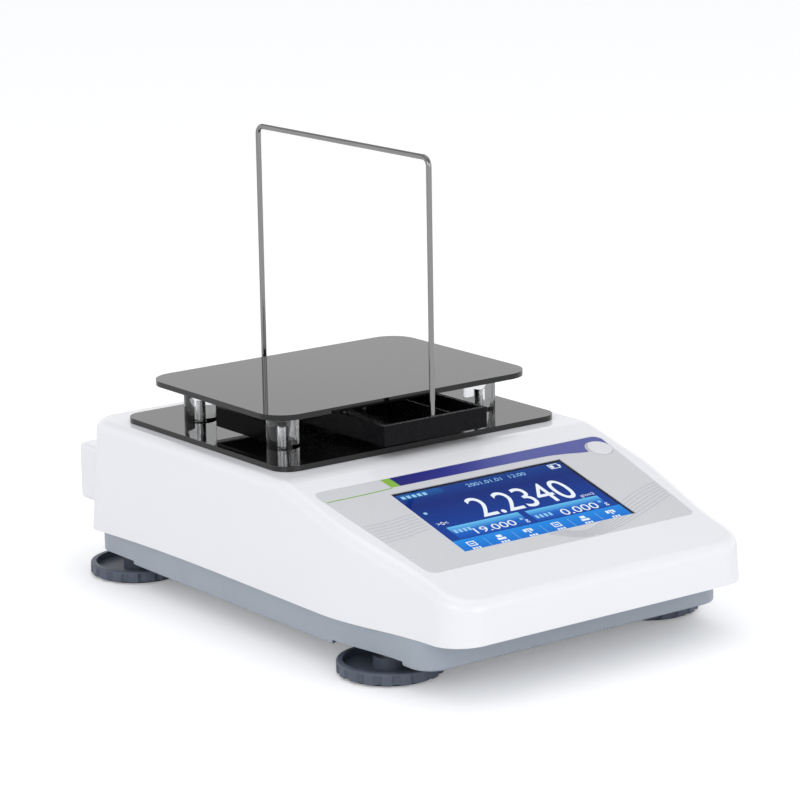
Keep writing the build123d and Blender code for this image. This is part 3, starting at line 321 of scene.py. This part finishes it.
line_grey = surface("line_grey", srgb(168, 170, 176), 0.35, vary=0.03)
inside = SCREEN_HALF[0] + 0.8, SCREEN_HALF[1] + 0.8
wave_faces = []
for k in range(7):
    s = k / 6
    wave = smooth([
        (-91.0 + 1.7 * s, 8.0 - 17.5 * s), (-74.0, 8.2 - 16.6 * s), (-56.0, 9.8 - 16.0 * s),
        (-30.0, 2.0 - 16.0 * s), (-5.0, -22.0 - 10.0 * s), (8.0, -33.5 - 7.0 * s),
        (20.0, -37.0 - 6.2 * s), (38.0, -30.0 - 10.5 * s), (60.0, -17.8 - 15.4 * s),
        (76.0, -11.5 - 15.6 * s), (89.5 - 1.6 * s, -8.0 - 14.5 * s),
    ], 12)
    run = []
    for point in wave + [(0, 0)]:
        shown = abs(point[0]) > inside[0] or abs(point[1]) > inside[1]
        if shown and point[1] > -43.2:
            run.append(point)
        else:
            if len(run) > 2:
                wave_faces += strip(run, 0.32)
            run = []
panel_mesh("panel_lines", wave_faces, INK, line_grey)

# Screen picture, on the display's face under the glass
FACE = DISPLAY_FACE + 0.02
BOX_FACE = FACE + 0.02
MARK_FACE = FACE + 0.05
sky = lit_run("screen_ground", [
    (0.0, srgb(8, 66, 158)), (0.45, srgb(2, 56, 146)), (0.8, srgb(2, 38, 120)), (1.0, srgb(4, 60, 140)),
])
whole = box_face(-SCREEN_HALF[0], -SCREEN_HALF[1], *SCREEN_HALF)
panel_mesh("screen_ground", [whole], FACE, sky)
box_blue = lit_run("screen_box", [
    (0.0, srgb(8, 78, 176)), (0.5, srgb(16, 102, 200)), (1.0, srgb(104, 196, 244)),
])
left_box = box_face(-48.5, -18.7, -2.3, -6.3)
right_box = box_face(1.9, -18.3, 50.2, -7.0)
panel_mesh("screen_box_left", [left_box], BOX_FACE, box_blue)
panel_mesh("screen_box_right", [right_box], BOX_FACE, box_blue)
bar_blue = lit_run("screen_bar", [(0.0, srgb(14, 112, 210)), (1.0, srgb(30, 140, 230))])
bar = box_face(-SCREEN_HALF[0], -SCREEN_HALF[1], SCREEN_HALF[0], -19.4)
panel_mesh("screen_bar", [bar], BOX_FACE, bar_blue)
tab_blue = lit_run("screen_tab", [(0.0, srgb(8, 62, 132)), (1.0, srgb(20, 92, 166))])
tab = [(-53.0, 25.0), (-26.5, 25.0), (-24.5, 28.2), (-26.5, 31.0), (-53.0, 31.0)]
panel_mesh("screen_tab", [tab], BOX_FACE, tab_blue)
white_lit = lit("screen_white", srgb(240, 248, 255))
pale_lit = lit("screen_pale", srgb(150, 205, 245))


def panel_text(name, words, u, v, height, width, material, lift=MARK_FACE):
    """Numbers on the screen, set to a height and width from their lower left corner."""
    curve = bpy.data.curves.new(name, "FONT")
    curve.body = words
    made = bpy.data.objects.new(name, curve)
    scene.collection.objects.link(made)
    bpy.context.view_layer.update()
    mesh = bpy.data.meshes.new_from_object(made)
    bpy.data.objects.remove(made)
    low = [min(p.co[i] for p in mesh.vertices) for i in (0, 1)]
    high = [max(p.co[i] for p in mesh.vertices) for i in (0, 1)]
    for p in mesh.vertices:
        x = (p.co.x - low[0]) / (high[0] - low[0]) * width + u
        y = (p.co.y - low[1]) / (high[1] - low[1]) * height + v
        p.co = on_panel(x, y, lift)
    mesh.materials.clear()
    mesh.materials.append(material)
    result = bpy.data.objects.new(name, mesh)
    scene.collection.objects.link(result)
    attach(result, "base")
    return result


panel_text("screen_reading", "2.2340", -22.2, -4.5, 20.0, 63.7, white_lit)
panel_text("screen_left_value", "19.000", -36.2, -17.3, 5.4, 26.0, white_lit)
panel_text("screen_right_value", "0.000", 19.8, -18.4, 6.1, 23.9, white_lit)
panel_text("screen_clock", "2001.01.01  12:00", -10.0, 25.5, 3.2, 38.9, pale_lit)
panel_text("screen_unit", "g/cm3", 41.2, -6.3, 3.2, 9.0, white_lit)
panel_text("screen_left_unit", "g", -4.3, -17.4, 3.0, 2.2, white_lit)
panel_text("screen_right_unit", "g", 48.2, -18.1, 3.0, 2.2, white_lit)
panel_text("screen_zero_mark", ">0<", -51.0, -3.4, 3.0, 7.0, white_lit)

marks = []
marks += [box_face(-51.5 + i * 3.4, 26.6, -49.2 + i * 3.4, 29.4) for i in range(5)]
marks += [box_face(-47.0 + i * 2.9, -13.0, -45.2 + i * 2.9, -9.8) for i in range(4)]
marks += [box_face(3.6 + i * 2.9, -15.8, 5.4 + i * 2.9, -12.6) for i in range(4)]
marks += [box_face(-6.0, -13.9, -4.2, -12.1), box_face(46.2, -13.9, 48.0, -12.1)]
marks += [box_face(-50.5, 9.0, -48.5, 11.0)]
panel_mesh("screen_marks", marks, MARK_FACE, pale_lit)

left, bottom, right, top, rim = 46.0, 25.6, 52.6, 30.4, 0.55
rims = [
    box_face(left, bottom, right, bottom + rim), box_face(left, top - rim, right, top),
    box_face(left, bottom, left + rim, top), box_face(right - rim, bottom, right, top),
]
rims.append(box_face(52.6, 27.0, 53.4, 29.0))
rims.append(box_face(47.0, 26.6, 49.0, 29.4))
panel_mesh("screen_battery", rims, MARK_FACE, white_lit)

# Icons of the lower bar, as (left, bottom, right, top) from each one's middle
ICON_STEP = 18.3
FRAME_ICON = [
    (-2.6, -23.2, 2.6, -22.5), (-2.6, -27.0, 2.6, -26.3), (-2.6, -27.0, -1.9, -22.5),
    (1.9, -27.0, 2.6, -22.5), (-1.2, -25.2, 1.2, -24.4),
]
STACK_ICON = [(-1.6, -24.6, 1.6, -22.3), (-2.6, -27.0, 2.6, -25.2)]
BALANCE_ICON = [
    (-0.4, -27.0, 0.4, -22.4), (-2.8, -23.4, 2.8, -22.7), (-2.8, -25.4, -1.2, -23.4),
    (1.2, -25.4, 2.8, -23.4),
]
icons = []
for i in range(6):
    centre = -46.0 + ICON_STEP * i
    for left, bottom, right, top in (FRAME_ICON, STACK_ICON, BALANCE_ICON)[i % 3]:
        icons.append(box_face(centre + left, bottom, centre + right, top))
    icons += [box_face(centre - 2.6 + j * 1.9, -30.0, centre - 1.3 + j * 1.9, -28.4) for j in range(3)]
panel_mesh("screen_icons", icons, MARK_FACE, white_lit)
rules = [box_face(-37.0 + ICON_STEP * i, -30.0, -36.75 + ICON_STEP * i, -22.0) for i in range(5)]
panel_mesh("screen_rules", rules, MARK_FACE, pale_lit)


# Spirit level: a printed ring and the bubble under the clear top
def level_disc(name, rings, material):
    """A shallow dome of rings of (radius, height) over the level's centre."""
    low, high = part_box("spirit_level")
    centre = ((low[0] + high[0]) / 2, (low[1] + high[1]) / 2)
    shape = bmesh.new()
    rows = []
    for radius, height in rings:
        rows.append([
            shape.verts.new((centre[0] + radius * MM * math.cos(math.tau * i / 32),
                             centre[1] + radius * MM * math.sin(math.tau * i / 32), high[2] + height * MM))
            for i in range(32)
        ])
    for inner, outer in zip(rows, rows[1:]):
        for i in range(32):
            shape.faces.new((inner[i], inner[i - 1], outer[i - 1], outer[i]))
    mesh = bpy.data.meshes.new(name)
    shape.to_mesh(mesh)
    shape.free()
    mesh.materials.append(material)
    mesh.shade_smooth()
    made = bpy.data.objects.new(name, mesh)
    scene.collection.objects.link(made)
    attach(made, "base")


level_ink = surface("level_ink", (0.01, 0.01, 0.01), 0.4)
bubble_pale = surface("level_bubble", (0.75, 0.85, 0.45), 0.2, vary=0.05)
level_disc("level_ring", [(2.5, 0.03), (2.8, 0.03)], level_ink)
level_disc("level_bubble", [(0.05, 0.12), (0.9, 0.1), (1.5, 0.06), (1.8, 0.02)], bubble_pale)


# Floor, world and lamps
floor_mesh = bpy.data.meshes.new("floor")
floor_mesh.from_pydata([(-9, -9, 0), (9, -9, 0), (9, 9, 0), (-9, 9, 0)], [], [(0, 1, 2, 3)])
floor = bpy.data.objects.new("floor", floor_mesh)
scene.collection.objects.link(floor)
floor_look, tree, shader = new_material("floor_pale")
shader.inputs["Base Color"].default_value = (0.94, 0.94, 0.945, 1.0)
shader.inputs["Roughness"].default_value = 0.6
shader.inputs["Specular IOR Level"].default_value = 0.2
path = tree.nodes.new("ShaderNodeLightPath")
lift = tree.nodes.new("ShaderNodeMath")
lift.operation = "MULTIPLY"
lift.inputs[1].default_value = 0.21
tree.links.new(path.outputs["Is Camera Ray"], lift.inputs[0])
glow = tree.nodes.new("ShaderNodeEmission")
tree.links.new(lift.outputs["Value"], glow.inputs["Strength"])
both = tree.nodes.new("ShaderNodeAddShader")
tree.links.new(shader.outputs["BSDF"], both.inputs[0])
tree.links.new(glow.outputs["Emission"], both.inputs[1])
tree.links.new(both.outputs["Shader"], tree.nodes["Material Output"].inputs["Surface"])
floor_mesh.materials.append(floor_look)

world = bpy.data.worlds.new("studio")
scene.world = world
world.use_nodes = True
tree = world.node_tree
tree.nodes.clear()
output = tree.nodes.new("ShaderNodeOutputWorld")
path = tree.nodes.new("ShaderNodeLightPath")
soft = tree.nodes.new("ShaderNodeBackground")
soft.inputs["Color"].default_value = (0.97, 0.98, 1.0, 1.0)
soft.inputs["Strength"].default_value = 0.84
white = tree.nodes.new("ShaderNodeBackground")
white.inputs["Color"].default_value = (1.0, 1.0, 1.0, 1.0)
white.inputs["Strength"].default_value = 1.0
# Reflections see a white backdrop low down and a dimmer ceiling above it
coord = tree.nodes.new("ShaderNodeTexCoord")
split = tree.nodes.new("ShaderNodeSeparateXYZ")
tree.links.new(coord.outputs["Generated"], split.inputs["Vector"])
height = tree.nodes.new("ShaderNodeValToRGB")
height.color_ramp.elements[0].position = 0.36
height.color_ramp.elements[0].color = (1.0, 1.0, 1.0, 1.0)
height.color_ramp.elements[1].position = 0.55
height.color_ramp.elements[1].color = (0.42, 0.42, 0.43, 1.0)
tree.links.new(split.outputs["Z"], height.inputs["Fac"])
mirror = tree.nodes.new("ShaderNodeBackground")
mirror.inputs["Strength"].default_value = 1.0
tree.links.new(height.outputs["Color"], mirror.inputs["Color"])
seen = tree.nodes.new("ShaderNodeMath")
seen.operation = "MAXIMUM"
tree.links.new(path.outputs["Is Camera Ray"], seen.inputs[0])
tree.links.new(path.outputs["Is Transmission Ray"], seen.inputs[1])
first = tree.nodes.new("ShaderNodeMixShader")
tree.links.new(path.outputs["Is Glossy Ray"], first.inputs["Fac"])
tree.links.new(soft.outputs["Background"], first.inputs[1])
tree.links.new(mirror.outputs["Background"], first.inputs[2])
second = tree.nodes.new("ShaderNodeMixShader")
tree.links.new(seen.outputs["Value"], second.inputs["Fac"])
tree.links.new(first.outputs["Shader"], second.inputs[1])
tree.links.new(white.outputs["Background"], second.inputs[2])
tree.links.new(second.outputs["Shader"], output.inputs["Surface"])


def area_lamp(name, place, aim, size, power):
    lamp = bpy.data.lights.new(name, "AREA")
    lamp.shape = "SQUARE"
    lamp.size = size
    lamp.energy = power
    made = bpy.data.objects.new(name, lamp)
    made.location = place
    made.rotation_euler = (Vector(aim) - Vector(place)).to_track_quat("-Z", "Y").to_euler()
    scene.collection.objects.link(made)
    return made


area_lamp("top_box", (0.1, 0.1, 1.6), (0, 0, 0.05), 1.3, 3.0)
area_lamp("left_box", (-1.6, -0.9, 0.8), (0, 0, 0.06), 1.0, 5.0)
area_lamp("front_box", (0.5, -2.0, 0.5), (0, -0.15, 0.04), 1.2, 6.0)

# Camera at the photograph's angle
camera_data = bpy.data.cameras.new("camera")
camera_data.sensor_width = 36.0
camera_data.lens = 36.0 * 3218.45 / 800
camera_data.clip_start = 0.05
camera_data.clip_end = 50
camera = bpy.data.objects.new("camera", camera_data)
scene.collection.objects.link(camera)
eye = Vector((-1.00053, -1.34633, 0.50439))
forward = Vector((0.5813957, 0.78039222, -0.23014564))
right = Vector((0.79946447, -0.60048535, -0.01654989))
up = Vector((0.15111449, 0.17437123, 0.97301546))
turn = Matrix((right, up, -forward)).transposed()
camera.matrix_world = Matrix.Translation(eye) @ turn.to_4x4()
scene.camera = camera

scene.view_settings.view_transform = "Standard"
